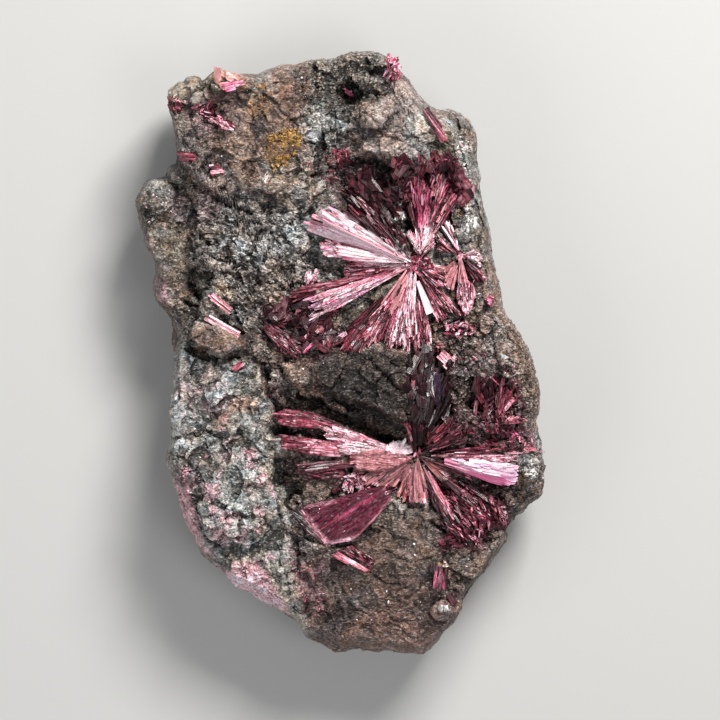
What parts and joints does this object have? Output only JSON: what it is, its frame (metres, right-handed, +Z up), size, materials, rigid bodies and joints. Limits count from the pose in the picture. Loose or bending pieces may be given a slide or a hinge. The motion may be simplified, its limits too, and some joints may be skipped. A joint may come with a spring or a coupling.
{
  "type": "mineral specimen",
  "caption": "Hand-sized slab of dark cobalt ore whose broken face carries radiating sprays and single blades of crimson to pink erythrite.",
  "frame": {"origin": "middle of the resting face's plan box, on the surface that the specimen lies on", "axes": "+Z up out of the crystal-bearing face, +Y along the specimen's length towards its broader end, +X to the right seen face-on"},
  "size_m": [0.0665, 0.0979, 0.0253],
  "materials": {
    "ore_matrix": "rough broken rock: grey-black ore with brown, grey and pink-dusted patches",
    "erythrite_crimson": "striated crystal, pearly to vitreous, deep crimson to hot pink",
    "erythrite_pink": "pearly pale pink to white cleavage faces"
  },
  "bodies": {
    "root": {"chip_group": "erythrite_pink", "corner_crystal": "erythrite_crimson", "dark_lath": "erythrite_crimson", "edge_crystal": "erythrite_crimson", "foot_crystal_lower": "erythrite_crimson", "foot_crystal_upper": "erythrite_crimson", "hollow_crystal": "erythrite_crimson", "large_blade": "erythrite_crimson", "left_dark_blades": "erythrite_crimson", "left_lath_lower": "erythrite_pink", "left_lath_upper": "erythrite_pink", "lower_blade_pair": "erythrite_crimson", "lower_spray": "erythrite_crimson", "matrix": "ore_matrix", "needle_group": "erythrite_crimson", "pale_blade": "erythrite_pink", "pale_grain": "erythrite_pink", "red_lath": "erythrite_crimson", "right_cluster": "erythrite_crimson", "right_spray": "erythrite_crimson", "shard_group": "erythrite_crimson", "small_lath": "erythrite_crimson", "step_crystal": "erythrite_crimson", "top_edge_crystals": "erythrite_pink", "upper_right_lath": "erythrite_crimson", "upper_spray": "erythrite_crimson"}
  },
  "joints": []
}
